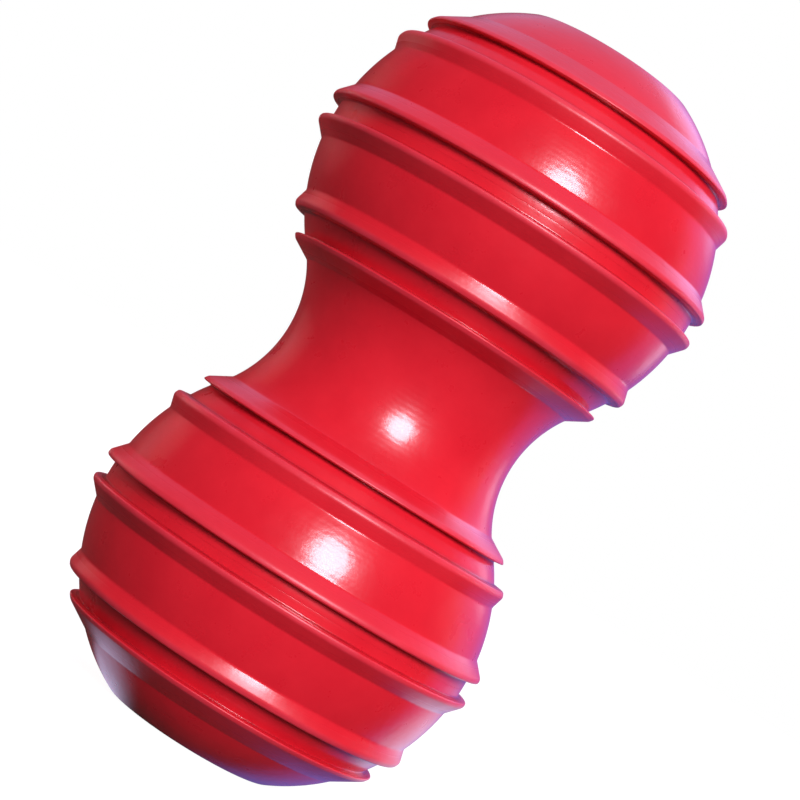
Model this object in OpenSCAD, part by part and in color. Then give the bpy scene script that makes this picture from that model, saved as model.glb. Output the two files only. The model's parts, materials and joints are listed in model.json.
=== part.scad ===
// Rubber chew toy: a hollow two-lobed bar with pairs of tooth-cleaning ridges.
// It stands on its lower flat end at z = 0, with +Z along its axis.
// Three rubber mouldings are lapped and cemented in the slots round the widest part of each lobe.

/* [Toy] */
// Length from flat end to flat end
toy_l = 130; // [120:1:136]
// Radius of each ball-shaped lobe, without its ridges
lobe_r = 34; // [32:0.5:36]
// Distance between the centres of the two lobes
lobe_gap = 69.2; // [66:0.2:72]
// Radius of the neck at its narrowest
neck_r = 21.7; // [20:0.1:24]
// Rounding where a lobe meets its flat end
rim_r = 2; // [1:0.1:3]

/* [Ridges] */
// Distance along the axis from one slot to the next
slot_pitch = 18.6; // [18:0.1:19]
// Width of a slot between the tips of its two ridges
slot_w = 3.7; // [3.2:0.1:4.6]
// Width of a slot at its floor
slot_floor_w = 3.2; // [2.4:0.1:3.2]
// Height above the lobe of the two ridges at its widest
ridge_h = 1.85; // [1.3:0.05:2.3]
// Height above the lobe of its other ridges
outer_ridge_h = 1.6; // [1.1:0.05:2.1]
// Width of a ridge's blunt tip
ridge_tip_w = 0.8; // [0.4:0.05:1.1]
// Run of a ridge's long outer flank along the axis
ridge_flank_w = 2.35; // [1.8:0.05:3]
// Run of the same flank on the ridge next to a flat end
end_flank_w = 2.85; // [2:0.05:3.6]

/* [Hollow] */
// Thickness of the rubber round the chamber in each lobe
wall = 8; // [6:0.25:9]
// Radius of the passage through the neck
passage_r = 13; // [10:0.25:14]
// Radius of the mouth in each flat end
mouth_r = 8; // [6:0.25:10]
// Rounding of a mouth's outer edge
mouth_lip_r = 1.5; // [0.8:0.1:2]

/* [Lap joints] */
// How far the waist's spigot reaches into an end cup
spigot_l = 5; // [3:0.25:7]
// Thickness of the spigot, measured from the chamber
spigot_t = 3.5; // [2.5:0.25:4.5]
// Cement gap round the spigot and past its end
cement_gap = 0.1; // [0.05:0.05:0.2]

/* [Hidden] */
$fn = 96;

mid_z = toy_l / 2;
lobe_z = lobe_gap / 2;
end_z = mid_z - lobe_z;
chamber_r = lobe_r - wall;
spigot_r = chamber_r + spigot_t;
// How far the neck's arc bites into a lobe, so that the two cross under the nearest ridge
neck_bite = 0.05;
// How far the rim's rounding pokes out of a lobe, so that the two cross
rim_bite = 0.02;
// The arc that runs from lobe to lobe round the neck, and how far its centre is from the axis
blend_r = lobe_r - neck_bite;
neck_arc_r = (neck_r^2 + lobe_z^2 - blend_r^2) / (2 * (blend_r - neck_r));
neck_arc_x = neck_r + neck_arc_r;
// How far a ridge's flanks run on into its lobe, as a share of their length
root_share = 0.3;
// Slots of one lobe, counted from the one at its widest
SLOTS = [-1, 0, 1];
// How far cuts run past what they cut
over = 1;

// Rubber red, as in the photograph
RUBBER = [0.83, 0.09, 0.14];

// The outlines below lie in the half plane of radius and height. Their heights count from the
// middle of the neck, or from a lobe's centre where a comment says so.

// A point at height z above a lobe's centre, lifted off its ball
function on_lobe(z, lift = 0) = [sqrt((lobe_r + lift)^2 - z^2), z];

// The flank from tip to foot, run on into the lobe
function root(tip, foot) = foot + (foot - tip) * root_share;

// One ridge of height h from its slot to its back, beside the slot at height z above the lobe's
// centre. side is 1 for the ridge away from the neck and -1 for the one towards it.
function ridge_points(z, side, h, flank_w) =
    let (
        tip_z = z + side * slot_w / 2,
        back_z = tip_z + side * ridge_tip_w,
        tip = on_lobe(tip_z, h),
        back = on_lobe(back_z, h),
        slot_foot = on_lobe(z + side * slot_floor_w / 2),
        back_foot = on_lobe(back_z + side * flank_w)
    )
    [root(tip, slot_foot), tip, back, root(back, back_foot)];

// Both ridges of one slot in one outline, whose floor between them stays inside the lobe
module ridge_pair(z, h, far_flank_w) {
    near = ridge_points(z, -1, h, ridge_flank_w);
    far = ridge_points(z, 1, h, far_flank_w);
    polygon(concat([for (i = [len(near) - 1:-1:0]) near[i]], far));
}

// A lobe and its half of the neck, without ridges
module lobe_outline() {
    translate([0, lobe_z])
        intersection() {
            circle(r = lobe_r);
            translate([0, -lobe_z]) square([lobe_r, lobe_z + lobe_r]);
        }
    difference() {
        polygon([[0, 0], [neck_arc_x, 0], [0, lobe_z]]);
        translate([neck_arc_x, 0]) circle(r = neck_arc_r);
    }
}

// What a rounding of radius r takes off an edge; to_a and to_b point from its centre to the
// two faces that it touches
module edge_waste(centre, r, to_a, to_b) {
    reach = 2 * r;
    translate(centre)
        difference() {
            polygon([[0, 0], reach * to_a, reach * (to_a + to_b), reach * to_b]);
            circle(r = r);
        }
}

// What the flat end and its mouth take off a lobe; heights count from the lobe's centre
module end_waste() {
    rim_z = end_z - rim_r;
    rim = [sqrt((lobe_r - rim_r + rim_bite)^2 - rim_z^2), rim_z];
    translate([0, end_z]) square([lobe_r, lobe_r]);
    edge_waste(rim, rim_r, [0, 1], rim / norm(rim));
    square([mouth_r, end_z + over]);
    edge_waste([mouth_r + mouth_lip_r, end_z - mouth_lip_r], mouth_lip_r, [-1, 0], [0, 1]);
}

// The rubber of the upper half of the toy, from the middle of the neck up
module half_outline() {
    difference() {
        union() {
            lobe_outline();
            translate([0, lobe_z])
                for (k = SLOTS)
                    ridge_pair(k * slot_pitch, k == 0 ? ridge_h : outer_ridge_h,
                               k == 1 ? end_flank_w : ridge_flank_w);
        }
        translate([0, lobe_z]) circle(r = chamber_r);
        square([passage_r, lobe_z]);
        translate([0, lobe_z]) end_waste();
    }
}

// An end cup: the outer half of a lobe, with the recess for the waist's spigot
module end_cup() {
    rotate_extrude()
        difference() {
            half_outline();
            square([2 * lobe_r, lobe_z]);
            square([spigot_r + cement_gap, lobe_z + spigot_l + cement_gap]);
        }
}

// Half the waist: the inner half of a lobe with its spigot, from the middle of the neck up
module half_waist() {
    rotate_extrude()
        intersection() {
            half_outline();
            union() {
                square([2 * lobe_r, lobe_z]);
                square([spigot_r, lobe_z + spigot_l]);
            }
        }
}

module upper_end_cup() {
    color(RUBBER) translate([0, 0, mid_z]) end_cup();
}

module lower_end_cup() {
    color(RUBBER) translate([0, 0, mid_z]) mirror([0, 0, 1]) end_cup();
}

module waist_section() {
    color(RUBBER) translate([0, 0, mid_z]) {
        half_waist();
        mirror([0, 0, 1]) half_waist();
    }
}

lower_end_cup();
waist_section();
upper_end_cup();
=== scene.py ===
"""Looks of a hollow rubber chew toy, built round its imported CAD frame.

The toy stands upright on its lower flat end. Three turned rubber mouldings replace the CAD
nodes: two end cups and the waist between them. Everything is in metres, in the CAD frame.
"""

import json
import logging
import math
from abc import ABC, abstractmethod
from dataclasses import dataclass
from enum import Enum

import bpy
from mathutils import Matrix, Vector


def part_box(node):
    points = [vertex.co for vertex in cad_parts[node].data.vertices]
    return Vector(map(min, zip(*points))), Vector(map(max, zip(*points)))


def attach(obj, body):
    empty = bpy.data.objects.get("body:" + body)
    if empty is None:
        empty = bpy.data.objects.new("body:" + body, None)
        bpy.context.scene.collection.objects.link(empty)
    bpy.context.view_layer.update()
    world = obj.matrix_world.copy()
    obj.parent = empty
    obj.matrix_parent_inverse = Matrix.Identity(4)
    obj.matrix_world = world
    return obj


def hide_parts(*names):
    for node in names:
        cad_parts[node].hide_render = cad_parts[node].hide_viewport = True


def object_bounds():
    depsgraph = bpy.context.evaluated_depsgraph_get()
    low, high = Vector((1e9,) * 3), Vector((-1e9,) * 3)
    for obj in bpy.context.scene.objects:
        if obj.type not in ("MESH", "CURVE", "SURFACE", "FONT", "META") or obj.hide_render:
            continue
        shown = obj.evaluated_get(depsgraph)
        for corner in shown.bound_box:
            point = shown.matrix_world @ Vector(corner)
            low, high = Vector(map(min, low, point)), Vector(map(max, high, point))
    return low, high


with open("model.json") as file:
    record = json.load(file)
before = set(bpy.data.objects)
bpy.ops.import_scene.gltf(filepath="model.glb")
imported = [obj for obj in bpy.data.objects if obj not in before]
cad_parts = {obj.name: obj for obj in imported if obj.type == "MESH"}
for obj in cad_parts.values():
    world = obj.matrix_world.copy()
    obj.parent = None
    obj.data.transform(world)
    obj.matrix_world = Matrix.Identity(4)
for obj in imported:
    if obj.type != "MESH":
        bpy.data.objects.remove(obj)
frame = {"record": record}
cad_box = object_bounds()

LOG = logging.getLogger("chew_toy")
MM = 0.001
ROOT_BODY = "root"
# Slots of one lobe: 0 is the one at its widest, -1 the one towards the neck
SLOTS = (-1, 0, 1)
# Most of an edge that the rounding at one of its ends may take up
EDGE_SHARE = 0.45


def linear(hex_colour: str) -> tuple[float, float, float, float]:
    """Turn an sRGB hex colour into the linear colour that Blender's sockets take.

    Args:
        hex_colour: Colour as "#RRGGBB".

    Returns:
        Linear red, green, blue and an alpha of 1.
    """
    channels = [int(hex_colour[i:i + 2], 16) / 255 for i in (1, 3, 5)]
    flat = [c / 12.92 if c <= 0.04045 else ((c + 0.055) / 1.055) ** 2.4 for c in channels]
    return (flat[0], flat[1], flat[2], 1.0)


def add_node(tree: bpy.types.NodeTree, kind: str, settings: dict | None = None,
             values: dict | None = None, links: dict | None = None) -> bpy.types.Node:
    """Add one shader node with its settings, socket values and incoming links.

    Args:
        tree: Node tree that gets the node.
        kind: Blender's identifier of the node type.
        settings: Properties of the node itself, by name.
        values: Default values of input sockets, by name or index.
        links: Output sockets to link, by the name or index of the input they feed.

    Returns:
        The new node.
    """
    node = tree.nodes.new(kind)
    for name, value in (settings or {}).items():
        setattr(node, name, value)
    for name, value in (values or {}).items():
        node.inputs[name].default_value = value
    for name, output in (links or {}).items():
        tree.links.new(output, node.inputs[name])
    return node


def smooth_step(tree: bpy.types.NodeTree, value: bpy.types.NodeSocket, start: float, end: float,
                top: bpy.types.NodeSocket | float) -> bpy.types.NodeSocket:
    """Add a smooth step of a value to a node tree.

    Args:
        tree: Node tree that gets the node.
        value: The value.
        start: Value at which the step is still 0.
        end: Value at which it reaches its top.
        top: Height of the step, as a number or a socket.

    Returns:
        The step's output.
    """
    step = add_node(tree, "ShaderNodeMapRange", {"interpolation_type": "SMOOTHSTEP"},
                    {"From Min": start, "From Max": end}, {"Value": value})
    if isinstance(top, float):
        step.inputs["To Max"].default_value = top
    else:
        tree.links.new(top, step.inputs["To Max"])
    return step.outputs["Result"]


class End(Enum):
    """Which end of the toy a cup closes; the value starts its node's name."""

    UPPER = "upper"
    LOWER = "lower"


@dataclass(frozen=True)
class Corner:
    """A point of an outline in the half plane of radius and height.

    Attributes:
        r: Distance from the toy's axis.
        z: Height above the middle of the neck.
        rounding: Radius that rounds the outline off at this point, or 0.
    """

    r: float
    z: float
    rounding: float = 0.0


def arc(centre: tuple[float, float], radius: float, z_from: float, z_to: float,
        step: float, side: int = 1) -> list[Corner]:
    """Sample an arc between two heights, with its ends.

    Args:
        centre: Radius and height of the arc's centre.
        radius: The arc's own radius.
        z_from: Height at which it starts.
        z_to: Height at which it ends.
        step: Longest distance between two points.
        side: 1 for the half of the circle away from the toy's axis, -1 for the half near it.

    Returns:
        The points in order.
    """
    a_from, a_to = (math.asin(max(-1.0, min(1.0, (z - centre[1]) / radius))) for z in (z_from, z_to))
    count = max(2, math.ceil(abs(a_to - a_from) * radius / step))
    turns = (a_from + (a_to - a_from) * i / count for i in range(count + 1))
    return [Corner(centre[0] + side * radius * math.cos(a), centre[1] + radius * math.sin(a))
            for a in turns]


def rounded(corners: list[Corner], steps: int = 5) -> list[tuple[float, float]]:
    """Round off the corners of a closed outline that ask for it.

    Args:
        corners: The outline's points in order.
        steps: Points on each rounding, besides its ends.

    Returns:
        Radius and height of each point of the finished outline.
    """
    out: list[tuple[float, float]] = []
    for i, corner in enumerate(corners):
        here = Vector((corner.r, corner.z))
        if corner.rounding <= 0:
            out.append((here.x, here.y))
            continue
        before, after = corners[i - 1], corners[(i + 1) % len(corners)]
        back = Vector((before.r, before.z)) - here
        ahead = Vector((after.r, after.z)) - here
        half_turn = (math.pi - back.angle(ahead)) / 2
        longest = EDGE_SHARE * min(back.length, ahead.length)
        reach = min(corner.rounding * math.tan(half_turn), longest)
        start, end = here + back.normalized() * reach, here + ahead.normalized() * reach
        for k in range(steps + 2):
            t = k / (steps + 1)
            spot = start * (1 - t) ** 2 + here * 2 * t * (1 - t) + end * t ** 2
            out.append((spot.x, spot.y))
    return out


@dataclass(frozen=True)
class ToyShape:
    """Sizes that the mouldings share, in metres. Heights count from the middle of the neck.

    Attributes:
        length: From flat end to flat end, read from the frame.
        seam_z: Height of the joint in a lobe, which is also the lobe's centre.
        spigot_tip_z: Height that the waist's spigot reaches.
        mouth_r: Radius of each mouth.
        lobe_r: Radius of each ball-shaped lobe, without its ridges.
        neck_r: Radius of the neck at its narrowest.
        slot_pitch: Distance along the axis from one slot to the next.
        slot_w: Width of a slot between the tips of its two ridges.
        slot_floor_w: Width of a slot at its floor.
        ridge_h: Height above the lobe of the two ridges at its widest.
        outer_ridge_h: Height above the lobe of its other ridges.
        ridge_tip_w: Width of a ridge's blunt tip.
        ridge_flank_w: Run of a ridge's long outer flank along the axis.
        end_flank_w: Run of the same flank on the ridge next to a flat end.
        tip_rounding: Rounding of a ridge's tip where the slot starts.
        shoulder_rounding: Rounding of the tip where the long flank starts.
        foot_rounding: Rounding at the foot of the long flank.
        slot_rounding: Rounding of the corners on a slot's floor.
        seam_rounding: Rounding of the two faces' edges at a joint.
        rim_rounding: Rounding where a lobe meets its flat end.
        lip_rounding: Rounding of a mouth's outer edge.
        inner_rounding: Rounding of a mouth's edge at the chamber.
        wall: Thickness of the rubber round the chamber in each lobe.
        passage_r: Radius of the passage through the neck.
        spigot_t: Thickness of the spigot, measured from the chamber.
        cement_gap: Cement gap round the spigot and past its end.
        step: Longest distance between two rings of the outside.
    """

    length: float
    seam_z: float
    spigot_tip_z: float
    mouth_r: float
    lobe_r: float = 34.0 * MM
    neck_r: float = 21.7 * MM
    slot_pitch: float = 18.6 * MM
    slot_w: float = 3.7 * MM
    slot_floor_w: float = 3.2 * MM
    ridge_h: float = 1.85 * MM
    outer_ridge_h: float = 1.6 * MM
    ridge_tip_w: float = 0.8 * MM
    ridge_flank_w: float = 2.35 * MM
    end_flank_w: float = 2.85 * MM
    tip_rounding: float = 0.5 * MM
    shoulder_rounding: float = 1.1 * MM
    foot_rounding: float = 0.8 * MM
    slot_rounding: float = 0.35 * MM
    seam_rounding: float = 0.05 * MM
    rim_rounding: float = 2.0 * MM
    lip_rounding: float = 1.5 * MM
    inner_rounding: float = 0.35 * MM
    wall: float = 8.0 * MM
    passage_r: float = 13.0 * MM
    spigot_t: float = 3.5 * MM
    cement_gap: float = 0.1 * MM
    step: float = 0.7 * MM

    @classmethod
    def from_frame(cls) -> "ToyShape":
        """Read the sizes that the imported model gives, and keep the others as drawn.

        Returns:
            The toy's sizes.
        """
        lowest, highest = cad_box
        middle = (lowest.z + highest.z) / 2
        cup_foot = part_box("upper_end_cup")[0].z
        waist_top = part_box("waist_section")[1].z
        mouth = next(m for m in frame["record"]["mounts"] if m["name"] == "upper_mouth")
        return cls(length=highest.z - lowest.z, seam_z=cup_foot - middle,
                   spigot_tip_z=waist_top - middle, mouth_r=mouth["dims"]["r_mm"] * MM)

    @property
    def middle_z(self) -> float:
        """Height of the middle of the neck in the frame."""
        return self.length / 2

    @property
    def chamber_r(self) -> float:
        """Radius of the ball-shaped chamber in each lobe."""
        return self.lobe_r - self.wall

    @property
    def spigot_r(self) -> float:
        """Outer radius of the waist's spigot."""
        return self.chamber_r + self.spigot_t

    def ball(self, z: float, lift: float = 0.0, rounding: float = 0.0) -> Corner:
        """Point at height z on a lobe's ball, lifted off it."""
        r = math.sqrt((self.lobe_r + lift) ** 2 - (z - self.seam_z) ** 2)
        return Corner(r, z, rounding)

    @property
    def neck_arc_r(self) -> float:
        """Radius of the arc that runs from lobe to lobe round the neck."""
        return ((self.neck_r ** 2 + self.seam_z ** 2 - self.lobe_r ** 2)
                / (2 * (self.lobe_r - self.neck_r)))

    def neck_radius(self, z: float) -> float:
        """Radius of the neck at a height."""
        return self.neck_r + self.neck_arc_r - math.sqrt(self.neck_arc_r ** 2 - z ** 2)

    def ridge(self, slot: int, side: int) -> list[Corner]:
        """Outline of one ridge, from the foot in its slot to the foot at its back.

        Args:
            slot: Slot beside the ridge: 0 at the lobe's widest, 1 and -1 above and below it.
            side: 1 for the ridge away from the neck, -1 for the one towards it.

        Returns:
            The ridge's four corners.
        """
        slot_z = self.seam_z + slot * self.slot_pitch
        height = self.outer_ridge_h if slot else self.ridge_h
        flank_w = self.end_flank_w if slot == side == 1 else self.ridge_flank_w
        tip_z = slot_z + side * self.slot_w / 2
        back_z = tip_z + side * self.ridge_tip_w
        back = self.ball(back_z, height, self.shoulder_rounding)
        foot = self.ball(back_z + side * flank_w, rounding=self.foot_rounding)
        if slot == side == -1:
            foot = self._on_neck(back, foot)
        return [self.ball(slot_z + side * self.slot_floor_w / 2, rounding=self.slot_rounding),
                self.ball(tip_z, height, self.tip_rounding), back, foot]

    def _on_neck(self, back: Corner, foot: Corner) -> Corner:
        """Find by halving where a flank meets the neck.

        Args:
            back: Corner at which the flank starts.
            foot: Corner inside the neck at which it would end.

        Returns:
            The corner at which it ends on the neck.
        """
        low, high = 0.0, 1.0
        halvings = 30
        for _ in range(halvings):
            t = (low + high) / 2
            r, z = back.r + (foot.r - back.r) * t, back.z + (foot.z - back.z) * t
            low, high = (t, high) if r > self.neck_radius(z) else (low, t)
        return Corner(r, z, foot.rounding)

    def ball_run(self, z_from: float, z_to: float) -> list[Corner]:
        """Stretch of a lobe's ball between two heights, without its ends."""
        return arc((0.0, self.seam_z), self.lobe_r, z_from, z_to, self.step)[1:-1]

    def neck_run(self, z_to: float) -> list[Corner]:
        """Neck from its middle up to a height, without its last point."""
        centre = (self.neck_r + self.neck_arc_r, 0.0)
        return arc(centre, self.neck_arc_r, 0.0, z_to, self.step, side=-1)[:-1]

    def outside(self) -> list[Corner]:
        """Draw the outside of the upper half.

        Returns:
            Its points, from the middle of the neck to the flat end's rim.
        """
        points: list[Corner] = []
        for slot in SLOTS:
            slot_z = self.seam_z + slot * self.slot_pitch
            near, far = self.ridge(slot, -1)[::-1], self.ridge(slot, 1)
            points += self.ball_run(points[-1].z, near[0].z) if points else self.neck_run(near[0].z)
            points += near
            points += self.ball_run(near[-1].z, slot_z)
            points.append(self.ball(slot_z))
            points += self.ball_run(slot_z, far[0].z)
            points += far
        end_z = self.length / 2
        rim = self.ball(end_z, rounding=self.rim_rounding)
        points += self.ball_run(points[-1].z, rim.z)
        points.append(rim)
        return points

    def mouth(self) -> list[Corner]:
        """Draw the upper mouth.

        Returns:
            Its points, from the flat end over the lip and down the wall to the chamber.
        """
        end_z = self.length / 2
        lip_step = self.step / 3
        lip_centre = (self.mouth_r + self.lip_rounding, end_z - self.lip_rounding)
        lip = arc(lip_centre, self.lip_rounding, end_z, lip_centre[1], lip_step, side=-1)
        face_r = (self.ball(end_z).r + lip_centre[0]) / 2
        chamber_z = self.seam_z + math.sqrt(self.chamber_r ** 2 - self.mouth_r ** 2)
        wall_mid = Corner(self.mouth_r, (lip_centre[1] + chamber_z) / 2)
        inner_edge = Corner(self.mouth_r, chamber_z, self.inner_rounding)
        return [Corner(face_r, end_z), *lip, wall_mid, inner_edge]

    def chamber_run(self, z_from: float, z_to: float) -> list[Corner]:
        """Stretch of the chamber's ball between two heights, with its ends."""
        hidden_step = 2 * self.step
        return arc((0.0, self.seam_z), self.chamber_r, z_from, z_to, hidden_step)


@dataclass(frozen=True)
class NaturalRubber:
    """Pigmented natural rubber, compression moulded and glossy.

    Vulcanised natural rubber is opaque, so the pigment gives all the colour. A skin of bloomed
    wax mirrors the lamp sharply over the softer gloss of the rubber. The mould was turned, so
    fine rings and a slight waviness bend that mirror image. Handling dulls the tips. Their paler
    colour comes partly from handling and is partly a painted highlight, and the slots' corners
    are darkened with painted shade.

    Attributes:
        name: What the material is called.
        pigment: Colour of most of the rubber.
        pigment_deep: Colour of its darker patches.
        rubbed_and_glint_colour: Colour of tips that handling pales, also used as a painted highlight
            along the crests.
        corner_shade_colour: Colour of the painted shade in the slots' corners.
        pale_tip_start: How far up a ridge the paling starts, where 1 is its tip; it is partly from
            handling and partly a painted highlight.
        rubbed_and_glint_share: Share of the pale colour on the tip itself, before it is broken into
            patches.
        patch_noise_size: Size of the patches in which tips are paled and the slots' corners get
            painted shade.
        mottle_size: Size of the colour's patches.
        ring_pitch: Distance between two turning marks of the mould.
        ring_height: Height of the marks.
        wave_size: Size of the skin's waves.
        wave_height: Height of the waves.
        scuff_size: Size of rubbed spots.
        scuff_height: Height of their edges.
        pebble_size: Size of the finest grain.
        pebble_height: Height of the grain.
        gloss_low: Least roughness of the rubber under its skin.
        gloss_high: Most roughness of the rubber under its skin.
        tip_wear: Roughness that handling adds to the rubber on a ridge's tip.
        ior: Index of refraction of natural rubber.
        specular: Strength of the rubber's own mirror image, where 0.5 is all that its IOR gives.
        skin: Share of the surface that the wax skin covers.
        skin_roughness: Roughness of the skin.
        skin_wear: Roughness that handling adds to the skin on a ridge's tip.
        noise_roughness: Strength of each finer layer of a noise against the one above it.
    """

    name: str = "moulded_natural_rubber_red"
    pigment: str = "#DE1F2D"
    pigment_deep: str = "#D61A29"
    # Paler tips: partly from handling, partly a painted highlight along the crests.
    rubbed_and_glint_colour: str = "#E4475A"
    # Painted shade in the slots' corners.
    corner_shade_colour: str = "#7A0D16"
    pale_tip_start: float = 0.85
    rubbed_and_glint_share: float = 0.6
    patch_noise_size: float = 4.5 * MM
    mottle_size: float = 11.0 * MM
    ring_pitch: float = 0.9 * MM
    ring_height: float = 0.003 * MM
    wave_size: float = 4.2 * MM
    wave_height: float = 0.055 * MM
    scuff_size: float = 1.5 * MM
    scuff_height: float = 0.016 * MM
    pebble_size: float = 0.5 * MM
    pebble_height: float = 0.003 * MM
    gloss_low: float = 0.26
    gloss_high: float = 0.34
    tip_wear: float = 0.06
    ior: float = 1.5
    specular: float = 0.27
    skin: float = 0.62
    skin_roughness: float = 0.16
    skin_wear: float = 0.28
    noise_roughness: float = 0.58

    def make(self) -> bpy.types.Material:
        """Build the material's nodes.

        Returns:
            The finished material.
        """
        material = bpy.data.materials.new(self.name)
        material.use_nodes = True
        tree = material.node_tree
        tree.nodes.clear()
        place = add_node(tree, "ShaderNodeTexCoord").outputs["Object"]
        crest = add_node(tree, "ShaderNodeAttribute", {"attribute_name": "crest"}).outputs["Fac"]
        slot = add_node(tree, "ShaderNodeAttribute", {"attribute_name": "slot"}).outputs["Fac"]
        mottle = self._noise(tree, place, self.mottle_size, detail=4.0)
        patch = add_node(tree, "ShaderNodeMapRange", values={"From Min": 0.35, "From Max": 0.65},
                         links={"Value": mottle}).outputs["Result"]
        body = add_node(tree, "ShaderNodeMix", {"data_type": "RGBA"},
                        {"A": linear(self.pigment_deep), "B": linear(self.pigment)},
                        {"Factor": patch}).outputs["Result"]
        colour = self._edge_colours(tree, place, body, crest, slot)
        gloss = self._gloss(tree, place, crest)
        bump = self._surface(tree, place)
        skin_gloss = add_node(tree, "ShaderNodeMath", {"operation": "MULTIPLY_ADD"},
                              {1: self.skin_wear, 2: self.skin_roughness}, {0: crest}).outputs["Value"]
        shader = add_node(tree, "ShaderNodeBsdfPrincipled",
                          values={"IOR": self.ior, "Specular IOR Level": self.specular,
                                  "Coat Weight": self.skin},
                          links={"Base Color": colour, "Roughness": gloss, "Normal": bump,
                                 "Coat Roughness": skin_gloss, "Coat Normal": bump})
        add_node(tree, "ShaderNodeOutputMaterial", links={"Surface": shader.outputs["BSDF"]})
        return material

    def _noise(self, tree: bpy.types.NodeTree, place: bpy.types.NodeSocket, size: float,
               detail: float) -> bpy.types.NodeSocket:
        """Add noise whose largest features have the given size.

        Args:
            tree: Node tree of the material.
            place: Position on the object.
            size: Size of the largest features.
            detail: How many finer layers it has.

        Returns:
            The noise.
        """
        return add_node(tree, "ShaderNodeTexNoise",
                        values={"Scale": 1 / size, "Detail": detail,
                                "Roughness": self.noise_roughness},
                        links={"Vector": place}).outputs["Fac"]

    def _edge_colours(self, tree: bpy.types.NodeTree, place: bpy.types.NodeSocket,
                      body: bpy.types.NodeSocket, crest: bpy.types.NodeSocket,
                      slot: bpy.types.NodeSocket) -> bpy.types.NodeSocket:
        """Pale the ridge tips in patches, partly for handling and partly as a painted highlight, and
        darken the slots' corners with painted shade.

        Args:
            tree: Node tree of the material.
            place: Position on the object.
            body: Colour of the plain rubber.
            crest: 1 on a ridge's tip, falling to 0 at its feet.
            slot: 1 in a slot's corners.

        Returns:
            The surface's colour.
        """
        patchy = self._noise(tree, place, self.patch_noise_size, detail=6.0)
        # Tips paled in patches: partly from handling, partly a painted highlight.
        tip = add_node(tree, "ShaderNodeMapRange",
                       values={"From Min": self.pale_tip_start, "From Max": 1.0, "To Max": self.rubbed_and_glint_share},
                       links={"Value": crest}).outputs["Result"]
        rubbed_and_glint_share = add_node(tree, "ShaderNodeMath", {"operation": "MULTIPLY"},
                        links={0: tip, 1: patchy}).outputs["Value"]
        rubbed_and_glint_colour = add_node(tree, "ShaderNodeMix", {"data_type": "RGBA"}, {"B": linear(self.rubbed_and_glint_colour)},
                        {"Factor": rubbed_and_glint_share, "A": body}).outputs["Result"]
        # Painted shade in the slots' corners, broken into patches.
        corner_shade_share = add_node(tree, "ShaderNodeMath", {"operation": "MULTIPLY"},
                        links={0: slot, 1: patchy}).outputs["Value"]
        return add_node(tree, "ShaderNodeMix", {"data_type": "RGBA"}, {"B": linear(self.corner_shade_colour)},
                        {"Factor": corner_shade_share, "A": rubbed_and_glint_colour}).outputs["Result"]

    def _gloss(self, tree: bpy.types.NodeTree, place: bpy.types.NodeSocket,
               crest: bpy.types.NodeSocket) -> bpy.types.NodeSocket:
        """Vary the rubber's gloss in soft patches and dull the ridge tips.

        Args:
            tree: Node tree of the material.
            place: Position on the object.
            crest: 1 on a ridge's tip, falling to 0 at its feet.

        Returns:
            The roughness of the rubber under its skin.
        """
        patch = self._noise(tree, place, self.wave_size, detail=5.0)
        gloss = add_node(tree, "ShaderNodeMapRange",
                         values={"From Min": 0.3, "From Max": 0.7, "To Min": self.gloss_low,
                                 "To Max": self.gloss_high},
                         links={"Value": patch}).outputs["Result"]
        return add_node(tree, "ShaderNodeMath", {"operation": "MULTIPLY_ADD"}, {1: self.tip_wear},
                        {0: crest, 2: gloss}).outputs["Value"]

    def _surface(self, tree: bpy.types.NodeTree, place: bpy.types.NodeSocket) -> bpy.types.NodeSocket:
        """Lay waves, turning marks, scuffs and grain over each other, from coarse to fine.

        Args:
            tree: Node tree of the material.
            place: Position on the object.

        Returns:
            The bumped normal.
        """
        bands_per_unit = 20
        rings = add_node(tree, "ShaderNodeTexWave", {"bands_direction": "Z"},
                         {"Scale": 2 * math.pi / (bands_per_unit * self.ring_pitch), "Distortion": 2.5,
                          "Detail": 3.0, "Detail Scale": 0.6}, {"Vector": place}).outputs["Fac"]
        layers = ((self._noise(tree, place, self.wave_size, detail=3.0), self.wave_height),
                  (rings, self.ring_height),
                  (self._noise(tree, place, self.scuff_size, detail=8.0), self.scuff_height),
                  (self._noise(tree, place, self.pebble_size, detail=2.0), self.pebble_height))
        normal: bpy.types.NodeSocket | None = None
        for relief, height in layers:
            links = {"Height": relief} | ({"Normal": normal} if normal else {})
            normal = add_node(tree, "ShaderNodeBump", values={"Strength": 1.0, "Distance": height},
                              links=links).outputs["Normal"]
        return normal


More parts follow.
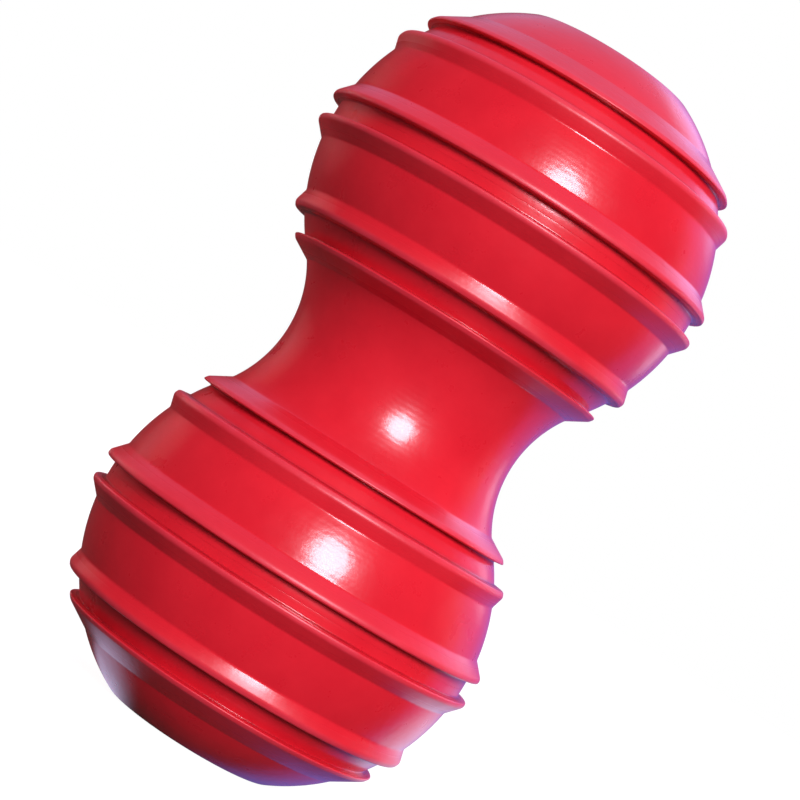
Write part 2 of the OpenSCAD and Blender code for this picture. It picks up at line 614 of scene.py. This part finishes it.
@dataclass
class Moulding(ABC):
    """One turned rubber moulding of the toy.

    Attributes:
        shape: Sizes shared by all mouldings.
        finish: Material of the rubber.
        segments: Faces round the axis.
        tip_wave: How far a ridge's tip is rubbed down at most.
        wear_waves: Waves of that rubbing, as how often each goes round the toy and by how many
            radians it shifts over the toy's length.
    """

    shape: ToyShape
    finish: bpy.types.Material
    segments: int = 256
    tip_wave: float = 0.05 * MM
    wear_waves: tuple[tuple[int, float], ...] = ((3, 90.0), (7, 210.0), (19, 130.0))

    @property
    @abstractmethod
    def node(self) -> str:
        """Name of the CAD node that the moulding stands for."""

    @abstractmethod
    def outline(self) -> list[Corner]:
        """Closed outline of the moulding's section."""

    def crest_share(self, r: float, z: float) -> float:
        """Tell how far up a ridge a point of the outline lies.

        Args:
            r: The point's distance from the axis.
            z: Its height above the middle of the neck.

        Returns:
            0 at a ridge's foot, 1 at its tip, and 0 away from the ridges.
        """
        shape = self.shape
        off = abs(z) - shape.seam_z
        if off < -shape.slot_pitch - shape.slot_w / 2 - shape.ridge_tip_w - shape.ridge_flank_w:
            return 0.0
        height = shape.ridge_h if abs(off) < shape.slot_pitch / 2 else shape.outer_ridge_h
        return min(1.0, max(0.0, (math.hypot(r, off) - shape.lobe_r) / height))

    def slot_share(self, r: float, z: float) -> float:
        """Tell how near a point of the outline lies to a corner on a slot's floor.

        Args:
            r: The point's distance from the axis.
            z: Its height above the middle of the neck.

        Returns:
            1 in the corner, falling to 0 at the tips and elsewhere.
        """
        shape = self.shape
        if r < shape.neck_r or math.hypot(r, abs(z) - shape.seam_z) < shape.lobe_r - shape.wall / 2:
            return 0.0
        off = min(abs(abs(z) - shape.seam_z - k * shape.slot_pitch) for k in SLOTS)
        from_corner = abs(off - shape.slot_floor_w / 2)
        return max(0.0, 1 - 2 * from_corner / (shape.slot_w - shape.slot_floor_w))

    def build(self) -> bpy.types.Object:
        """Turn the outline about the axis and dress the mesh.

        Returns:
            The finished object, riding on the toy's body.
        """
        points = rounded(self.outline())
        mesh = bpy.data.meshes.new(self.node)
        rings, turns = len(points), self.segments
        verts, crests, slots = [], [], []
        for r, z in points:
            crest = self.crest_share(r, z)
            for j in range(turns):
                a = 2 * math.pi * j / turns
                wander = sum(math.sin(times * a + shift * z / self.shape.length)
                             for times, shift in self.wear_waves) / len(self.wear_waves)
                reach = r - crest ** 2 * self.tip_wave * (1 + wander) / 2
                verts.append((reach * math.cos(a), reach * math.sin(a), z + self.shape.middle_z))
            crests += [crest] * turns
            slots += [self.slot_share(r, z)] * turns
        faces = []
        for i in range(rings):
            k = (i + 1) % rings
            for j in range(turns):
                n = (j + 1) % turns
                faces.append((i * turns + j, i * turns + n, k * turns + n, k * turns + j))
        mesh.from_pydata(verts, [], faces)
        mesh.validate()
        mesh.shade_smooth()
        for name, shares in (("crest", crests), ("slot", slots)):
            mesh.attributes.new(name, "FLOAT", "POINT").data.foreach_set("value", shares)
        mesh.materials.append(self.finish)
        piece = bpy.data.objects.new(self.node + "_rubber", mesh)
        bpy.context.scene.collection.objects.link(piece)
        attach(piece, ROOT_BODY)
        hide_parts(self.node)
        LOG.info("%s: %d rings of %d", piece.name, rings, turns)
        return piece


@dataclass
class EndCup(Moulding):
    """The outer half of a lobe, recessed for the waist's spigot.

    Attributes:
        end: Which end of the toy the cup closes.
    """

    end: End = End.UPPER

    @property
    def node(self) -> str:
        """Name of the CAD node that this cup stands for."""
        return f"{self.end.value}_end_cup"

    def outline(self) -> list[Corner]:
        """Draw the cup's section.

        Returns:
            Its closed outline, turned over for the lower end.
        """
        shape = self.shape
        recess_r = shape.spigot_r + shape.cement_gap
        recess_z = shape.spigot_tip_z + shape.cement_gap
        outside = [p for p in shape.outside() if p.z > shape.seam_z]
        seam = shape.ball(shape.seam_z, rounding=shape.seam_rounding)
        mouth = shape.mouth()
        chamber = shape.chamber_run(mouth[-1].z, recess_z)[1:]
        recess = [Corner(recess_r, recess_z), Corner(recess_r, shape.seam_z)]
        points = [seam, *outside, *mouth, *chamber, *recess]
        if self.end is End.UPPER:
            return points
        return [Corner(p.r, -p.z, p.rounding) for p in reversed(points)]


@dataclass
class Waist(Moulding):
    """The neck with the inner half of both lobes and a spigot at each end."""

    @property
    def node(self) -> str:
        """Name of the CAD node that the waist stands for."""
        return "waist_section"

    def outline(self) -> list[Corner]:
        """Draw the waist's section.

        Returns:
            Its closed outline, whose lower half mirrors its upper one.
        """
        shape = self.shape
        outside = [p for p in shape.outside() if p.z < shape.seam_z]
        seam = shape.ball(shape.seam_z, rounding=shape.seam_rounding)
        passage_z = shape.seam_z - math.sqrt(shape.chamber_r ** 2 - shape.passage_r ** 2)
        spigot = [Corner(shape.spigot_r, shape.seam_z), Corner(shape.spigot_r, shape.spigot_tip_z)]
        chamber = shape.chamber_run(shape.spigot_tip_z, passage_z)
        upper = [*outside, seam, *spigot, *chamber, Corner(shape.passage_r, passage_z / 2)]
        lower = [Corner(p.r, -p.z, p.rounding) for p in reversed(upper) if p.z > 0]
        return [*upper, Corner(shape.passage_r, 0.0), *lower]


@dataclass(frozen=True)
class SoftBox:
    """A round studio lamp, placed by its direction from the middle of the toy.

    Attributes:
        name: What the lamp is called.
        side: Share of its direction to the right of the toy, as the camera sees it.
        up: Share along the toy's axis.
        front: Share towards the camera.
        distance: How far from the middle of the toy it stands.
        width: Diameter of its round front.
        watts: Its power.
        mirrored: Whether the rubber mirrors it, or gets its soft light only.
        colour: Its light.
    """

    name: str
    side: float
    up: float
    front: float
    distance: float
    width: float
    watts: float
    mirrored: bool = True
    colour: str = "#FFFFFF"

    def place(self, middle: Vector) -> None:
        """Add the lamp.

        Args:
            middle: Middle of the toy, at which the lamp is aimed.
        """
        towards = Vector((self.side, -self.front, self.up)).normalized()
        lamp = bpy.data.lights.new(self.name, "AREA")
        lamp.shape = "DISK"
        lamp.size = self.width
        lamp.energy = self.watts
        lamp.color = linear(self.colour)[:3]
        holder = bpy.data.objects.new(self.name, lamp)
        holder.location = middle + towards * self.distance
        holder.rotation_mode = "QUATERNION"
        holder.rotation_quaternion = towards.to_track_quat("Z", "Y")
        holder.visible_camera = False
        holder.visible_glossy = self.mirrored
        bpy.context.scene.collection.objects.link(holder)


@dataclass(frozen=True)
class PhotoCamera:
    """The photograph's camera, worked out from the toy's outline.

    Attributes:
        distance: From the toy's axis.
        px_per_mm: Scale of the photograph at the axis.
        image_px: Width and height of the photograph.
        toy_px: Pixel on which the middle of the toy falls.
        lean_deg: Angle between the toy's axis and the photograph's upright, clockwise.
        drop: How far below the middle of the toy the camera stands.
        sensor_mm: Width of the sensor in millimetres, as Blender takes it.
        nearest: Nearest distance that the camera sees.
        farthest: Farthest distance that it sees.
    """

    distance: float = 402.0 * MM
    px_per_mm: float = 6.07
    image_px: float = 800.0
    toy_px: tuple[float, float] = (399.1, 398.8)
    lean_deg: float = 32.06
    drop: float = 8.0 * MM
    sensor_mm: float = 36.0
    nearest: float = 10.0 * MM
    farthest: float = 100.0

    def place(self, middle: Vector) -> None:
        """Add the camera and make it the scene's own.

        Args:
            middle: Middle of the toy.
        """
        lean = math.radians(self.lean_deg)
        px = MM / self.px_per_mm
        right = Vector((math.cos(lean), 0, math.sin(lean)))
        up = Vector((-math.sin(lean), 0, math.cos(lean)))
        off_right = (self.image_px / 2 - self.toy_px[0]) * px
        off_down = (self.image_px / 2 - self.toy_px[1]) * px
        aim = middle + right * off_right - up * off_down
        spot = middle + Vector((0, -self.distance, -self.drop))
        ahead = (aim - spot).normalized()
        level_up = (Vector((0, 0, 1)) - ahead * ahead.z).normalized()
        level_right = ahead.cross(level_up)
        image_up = level_up * math.cos(lean) - level_right * math.sin(lean)
        image_right = ahead.cross(image_up)
        data = bpy.data.cameras.new("photo_camera")
        data.sensor_width = self.sensor_mm
        data.lens = data.sensor_width * self.px_per_mm * self.distance / MM / self.image_px
        data.clip_start, data.clip_end = self.nearest, self.farthest
        camera = bpy.data.objects.new("photo_camera", data)
        turn = Matrix((image_right, image_up, -ahead)).transposed().to_4x4()
        camera.matrix_world = Matrix.Translation(spot) @ turn
        bpy.context.scene.collection.objects.link(camera)
        bpy.context.scene.camera = camera


@dataclass(frozen=True)
class Glow:
    """A bright stretch of the surroundings, as the rubber mirrors it.

    Attributes:
        towards: Direction of its middle; its height doesn't count for a wall.
        edge: Cosine of the angle from the middle at which it starts.
        full: Cosine of the angle from the middle at which it has its full strength.
        strength: Its full strength.
        colour: Its light.
        wall_foot: Height, as a share of the ray, at which a wall starts; None for a round glow.
        wall_top: Height at which a wall ends.
        wall_fade: Height over which a wall fades in at its foot and out at its top.
    """

    towards: tuple[float, float, float]
    edge: float
    full: float
    strength: float
    colour: str
    wall_foot: float | None = None
    wall_top: float = 0.9
    wall_fade: float = 0.25

    def add(self, tree: bpy.types.NodeTree, ray: bpy.types.NodeSocket,
            before: bpy.types.NodeSocket) -> bpy.types.NodeSocket:
        """Add this glow to what the surroundings give already.

        Args:
            tree: Node tree of the world.
            ray: Direction of the ray that meets the surroundings.
            before: Light that the surroundings give already.

        Returns:
            The light with this glow in it.
        """
        strength: bpy.types.NodeSocket | float = self.strength
        if self.wall_foot is not None:
            height = add_node(tree, "ShaderNodeSeparateXYZ", links={0: ray}).outputs["Z"]
            above = smooth_step(tree, height, self.wall_foot, self.wall_foot + self.wall_fade,
                                self.strength)
            strength = smooth_step(tree, height, self.wall_top, self.wall_top - self.wall_fade,
                                   above)
            flat = add_node(tree, "ShaderNodeVectorMath", {"operation": "MULTIPLY"},
                            {1: (1.0, 1.0, 0.0)}, {0: ray}).outputs["Vector"]
            ray = add_node(tree, "ShaderNodeVectorMath", {"operation": "NORMALIZE"},
                           links={0: flat}).outputs["Vector"]
        nearness = add_node(tree, "ShaderNodeVectorMath", {"operation": "DOT_PRODUCT"},
                            {1: Vector(self.towards).normalized()}, {0: ray}).outputs["Value"]
        share = smooth_step(tree, nearness, self.edge, self.full, strength)
        return add_node(tree, "ShaderNodeVectorMath", {"operation": "MULTIPLY_ADD"},
                        {1: linear(self.colour)[:3]}, {0: share, 2: before}).outputs["Vector"]


def flat_sheet(name: str, middle: tuple[float, float, float], half: float) -> bpy.types.Object:
    """Add a square sheet that lies flat, with an empty material of its own.

    Args:
        name: What the sheet and its material are called.
        middle: Where its middle is.
        half: Half its side.

    Returns:
        The sheet.
    """
    mesh = bpy.data.meshes.new(name)
    corners = [(-half, -half, 0), (half, -half, 0), (half, half, 0), (-half, half, 0)]
    mesh.from_pydata(corners, [], [(0, 1, 2, 3)])
    material = bpy.data.materials.new(name)
    material.use_nodes = True
    material.node_tree.nodes.clear()
    mesh.materials.append(material)
    sheet = bpy.data.objects.new(name, mesh)
    sheet.location = middle
    bpy.context.scene.collection.objects.link(sheet)
    return sheet


@dataclass(frozen=True)
class Card:
    """A round pale card that only the rubber's gloss sees, and that fades towards its edge.

    Attributes:
        name: What the card is called.
        middle: Where its middle is.
        half: Its radius, and half the side of the sheet that carries it.
        glow: Its brightness in the middle.
        colour: Its light.
        facing: Direction in which it faces.
        core: Share of its radius at which its glow starts to fade.
    """

    name: str
    middle: tuple[float, float, float]
    half: float
    glow: float
    colour: str
    facing: tuple[float, float, float] = (0.0, 0.0, 1.0)
    core: float = 0.25

    def place(self) -> None:
        """Add the card."""
        card = flat_sheet(self.name, self.middle, self.half)
        card.rotation_mode = "QUATERNION"
        card.rotation_quaternion = Vector(self.facing).to_track_quat("Z", "Y")
        tree = card.data.materials[0].node_tree
        spot = add_node(tree, "ShaderNodeTexCoord").outputs["Object"]
        away = add_node(tree, "ShaderNodeVectorMath", {"operation": "LENGTH"},
                        links={0: spot}).outputs["Value"]
        share = smooth_step(tree, away, self.half, self.half * self.core, 1.0)
        lit = add_node(tree, "ShaderNodeEmission",
                       values={"Color": linear(self.colour), "Strength": self.glow})
        clear = add_node(tree, "ShaderNodeBsdfTransparent")
        both = add_node(tree, "ShaderNodeMixShader", links={
            0: share, 1: clear.outputs["BSDF"], 2: lit.outputs["Emission"]})
        add_node(tree, "ShaderNodeOutputMaterial", links={"Surface": both.outputs["Shader"]})
        card.visible_camera = card.visible_diffuse = card.visible_shadow = False


@dataclass(frozen=True)
class Studio:
    """Pale floor, surroundings, lamps and cards round the toy.

    Attributes:
        floor_half: Half the side of the floor.
        floor_colour: What the floor reflects onto the toy.
        floor_glow: Strength of the white that the camera adds to the floor.
        dim: Strength of the surroundings between the glows.
        fill: What they add to that in diffuse light.
        glows: Their brighter stretches: a bluish wall behind and to the right, a window in it
            and the ceiling.
        lamps: The lamps.
        cards: Pale cards beside the toy.
    """

    floor_half: float = 4.0
    floor_colour: str = "#6E6C6A"
    floor_glow: float = 0.95
    dim: float = 0.04
    fill: float = 0.12
    glows: tuple[Glow, ...] = (
        Glow(towards=(0.57, 0.82, 0.0), edge=0.78, full=0.94, strength=0.7, colour="#867FFF",
             wall_foot=-0.8, wall_top=0.75),
        Glow(towards=(0.42, 0.73, 0.53), edge=0.94, full=0.99, strength=1.0, colour="#DADCFF"),
        Glow(towards=(0.0, 0.42, 0.91), edge=0.62, full=0.8, strength=0.62, colour="#BCC4FF"),
    )
    lamps: tuple[SoftBox, ...] = (
        SoftBox("key_lamp", side=0.23, up=0.388, front=0.88, distance=3.0, width=1.22,
                watts=110.0, colour="#F4F1FF"),
        SoftBox("top_lamp", side=0.1, up=0.9, front=0.43, distance=1.2, width=0.6,
                watts=1.0, mirrored=False),
        SoftBox("left_lamp", side=-0.72, up=0.08, front=-0.69, distance=1.5, width=1.0,
                watts=28.0, mirrored=False),
        SoftBox("right_lamp", side=0.8, up=0.2, front=-0.56, distance=1.5, width=1.0,
                watts=19.0, mirrored=False),
    )
    cards: tuple[Card, ...] = (
        Card("foot_card", middle=(-19.0 * MM, -7.5 * MM, 0.1 * MM), half=12.0 * MM,
             glow=1.15, colour="#DAD6FF"),
        Card("low_card", middle=(56.0 * MM, 24.0 * MM, 4.0 * MM), half=30.0 * MM,
             glow=1.6, colour="#DAD6FF", facing=(-0.6, -0.8, 0.0)),
        Card("far_card", middle=(123.0 * MM, 110.0 * MM, 90.0 * MM), half=32.0 * MM,
             glow=1.7, colour="#D2CEFF", facing=(-0.75, -0.66, 0.0)),
    )

    def make(self, middle: Vector) -> None:
        """Build floor, surroundings, lamps and cards.

        Args:
            middle: Middle of the toy.
        """
        self._floor()
        self._world()
        for lamp in self.lamps:
            lamp.place(middle)
        for card in self.cards:
            card.place()
        bpy.context.scene.view_settings.view_transform = "Standard"

    def _floor(self) -> None:
        """A plain floor that the camera sees as white."""
        floor = flat_sheet("floor", (0.0, 0.0, 0.0), self.floor_half)
        tree = floor.data.materials[0].node_tree
        matte = add_node(tree, "ShaderNodeBsdfDiffuse", values={"Color": linear(self.floor_colour)})
        seen = add_node(tree, "ShaderNodeLightPath").outputs["Is Camera Ray"]
        glow = add_node(tree, "ShaderNodeMath", {"operation": "MULTIPLY"}, {1: self.floor_glow},
                        {0: seen})
        white = add_node(tree, "ShaderNodeEmission", links={"Strength": glow.outputs["Value"]})
        both = add_node(tree, "ShaderNodeAddShader",
                        links={0: matte.outputs["BSDF"], 1: white.outputs["Emission"]})
        add_node(tree, "ShaderNodeOutputMaterial", links={"Surface": both.outputs["Shader"]})
        floor.visible_glossy = False

    def _world(self) -> None:
        """Surroundings with their glows; the camera sees plain white instead."""
        world = bpy.data.worlds.new("white_studio")
        world.use_nodes = True
        tree = world.node_tree
        tree.nodes.clear()
        path = add_node(tree, "ShaderNodeLightPath").outputs
        ray = add_node(tree, "ShaderNodeTexCoord").outputs["Generated"]
        light = add_node(tree, "ShaderNodeMath", {"operation": "MULTIPLY_ADD"},
                         {1: self.fill, 2: self.dim}, {0: path["Is Diffuse Ray"]}).outputs["Value"]
        for glow in self.glows:
            light = glow.add(tree, ray, light)
        colour = add_node(tree, "ShaderNodeMix", {"data_type": "RGBA"}, {"B": linear("#FFFFFF")},
                          {"Factor": path["Is Camera Ray"], "A": light}).outputs["Result"]
        sky = add_node(tree, "ShaderNodeBackground", links={"Color": colour})
        add_node(tree, "ShaderNodeOutputWorld", links={"Surface": sky.outputs["Background"]})
        bpy.context.scene.world = world


def main() -> None:
    """Build the toy, the studio and the camera."""
    logging.basicConfig(level=logging.INFO, format="%(name)s: %(message)s")
    shape = ToyShape.from_frame()
    rubber = NaturalRubber().make()
    for moulding in (EndCup(shape, rubber, end=End.LOWER), Waist(shape, rubber),
                     EndCup(shape, rubber, end=End.UPPER)):
        moulding.build()
    middle = Vector((0, 0, shape.middle_z))
    Studio().make(middle)
    PhotoCamera().place(middle)


if __name__ == "__main__":
    main()
